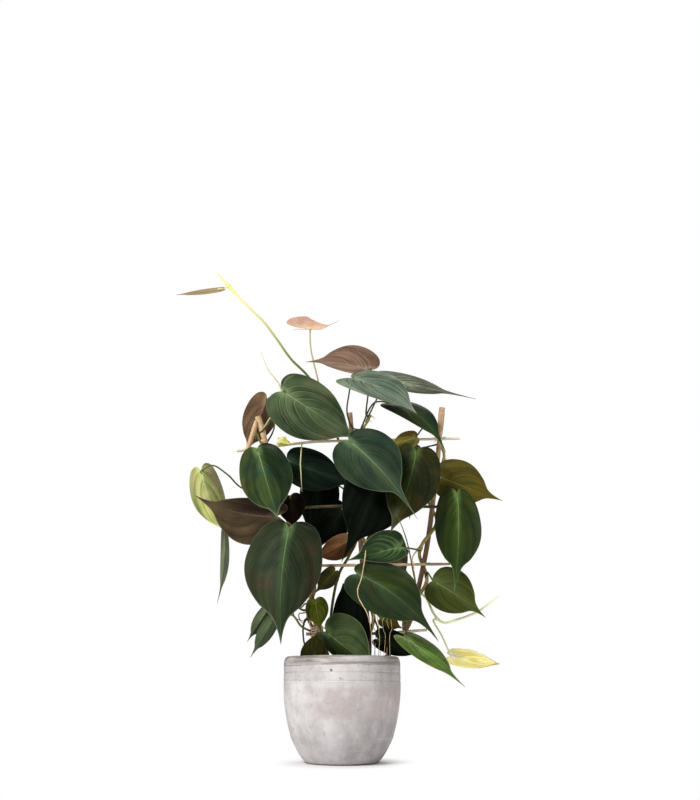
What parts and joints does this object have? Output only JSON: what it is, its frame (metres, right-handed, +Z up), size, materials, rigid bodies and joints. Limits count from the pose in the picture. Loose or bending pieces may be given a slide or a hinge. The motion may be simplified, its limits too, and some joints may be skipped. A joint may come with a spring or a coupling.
{
  "type": "potted climbing plant",
  "caption": "Velvet heart-leaved climber wound on a bamboo fan trellis, in a rounded concrete pot with a flat foot.",
  "frame": {"origin": "middle of the pot's flat foot, on the surface that it stands on", "axes": "+Z up along the pot's axis; -Y towards the front, from where the plant is seen; +X to the right of that view"},
  "size_m": [0.4374, 0.2277, 0.6336],
  "materials": {
    "concrete": "fine cast concrete, matt, light grey",
    "liner": "thin black grower's pot",
    "soil": "dark crumbled potting soil",
    "bamboo": "round bamboo canes, satin",
    "stem": "brown ripened stems, matt",
    "young_stem": "green young stems, satin",
    "velvet_leaf": "velvety dark green blades with a bluish sheen",
    "light_leaf": "velvety lighter green blades",
    "maroon_leaf": "matt maroon undersides",
    "pink_leaf": "young coppery pink blades",
    "yellow_leaf": "withered yellow blades"
  },
  "bodies": {
    "root": {"pot": "concrete", "grower_pot": "liner", "soil": "soil", "trellis_post_left": "bamboo", "trellis_post_middle": "bamboo", "trellis_post_right": "bamboo", "trellis_rung_bottom": "bamboo", "trellis_rung_lower": "bamboo", "trellis_rung_upper": "bamboo", "trellis_rung_top": "bamboo", "stem_left": "stem", "stem_middle": "stem", "stem_right": "stem", "stem_runner": "young_stem", "stem_shoot": "young_stem", "leaf_upper_left_big": "light_leaf", "leaf_upper_left_maroon": "maroon_leaf", "leaf_left_green": "velvet_leaf", "leaf_front_centre": "velvet_leaf", "leaf_front_left_big": "velvet_leaf", "leaf_right_big": "velvet_leaf", "leaf_right_low": "velvet_leaf", "leaf_right_olive": "velvet_leaf", "leaf_centre_right": "velvet_leaf", "leaf_centre_dark": "velvet_leaf", "leaf_centre_low_dark": "velvet_leaf", "leaf_centre_blue": "velvet_leaf", "leaf_left_maroon": "maroon_leaf", "leaf_left_maroon_dark": "maroon_leaf", "leaf_far_left_light": "light_leaf", "leaf_far_left_edge": "light_leaf", "leaf_centre_pointing_left": "velvet_leaf", "leaf_low_centre_big": "velvet_leaf", "leaf_bottom_centre": "velvet_leaf", "leaf_bottom_left_olive": "light_leaf", "leaf_low_left_olive": "light_leaf", "leaf_low_centre_dark": "velvet_leaf", "leaf_orange_underside": "maroon_leaf", "leaf_centre_olive": "light_leaf", "leaf_low_left_small": "velvet_leaf", "leaf_low_left_pointed": "velvet_leaf", "leaf_low_right_front": "velvet_leaf", "leaf_low_right_dark": "velvet_leaf", "leaf_yellow_curled": "yellow_leaf", "leaf_small_olive": "light_leaf", "leaf_upper_right_olive": "maroon_leaf", "leaf_upper_left_bud": "yellow_leaf", "leaf_top_pink": "pink_leaf", "leaf_top_brown": "maroon_leaf", "leaf_top_grey": "velvet_leaf", "leaf_top_right_edge": "velvet_leaf", "leaf_upper_right_dark": "velvet_leaf", "leaf_runner_young": "pink_leaf", "leaf_back_upper_middle": "velvet_leaf", "leaf_back_upper_right": "velvet_leaf", "leaf_back_middle_left": "velvet_leaf", "leaf_centre_shadow": "velvet_leaf", "leaf_back_middle_right": "velvet_leaf", "leaf_back_low_left": "velvet_leaf", "leaf_back_low_right": "velvet_leaf"}
  },
  "joints": []
}
